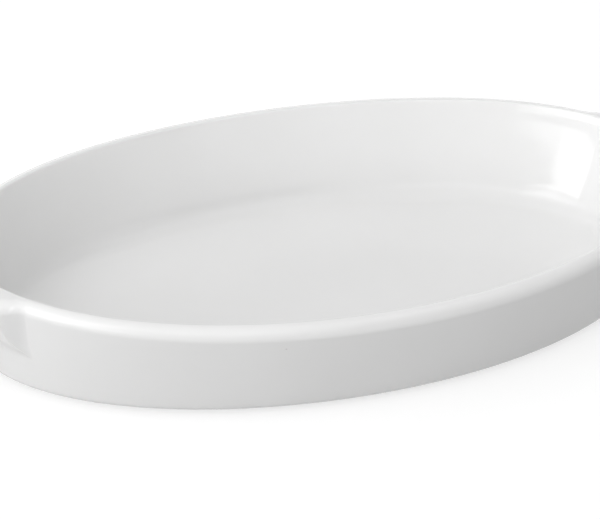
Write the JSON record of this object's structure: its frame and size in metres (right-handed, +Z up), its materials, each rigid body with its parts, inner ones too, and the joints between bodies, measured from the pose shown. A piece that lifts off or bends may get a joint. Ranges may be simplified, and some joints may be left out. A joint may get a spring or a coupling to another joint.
{
  "type": "gratin dish",
  "caption": "Shallow oval gratin dish of glazed white porcelain: sloping wall, rounded rim rising gently to both ends, a lifting ear at each end, bare foot ring.",
  "frame": {"origin": "on the table, under the middle of the dish", "axes": "+X along the dish towards the right ear, +Y across it, +Z up"},
  "size_m": [0.3148, 0.1452, 0.045],
  "materials": {
    "glaze": "clear glossy glaze over white porcelain",
    "bare_foot": "unglazed fired porcelain, ground smooth"
  },
  "bodies": {
    "root": {"bowl": "glaze", "ear_left": "glaze", "ear_right": "glaze", "foot_ring": "bare_foot"}
  },
  "joints": []
}
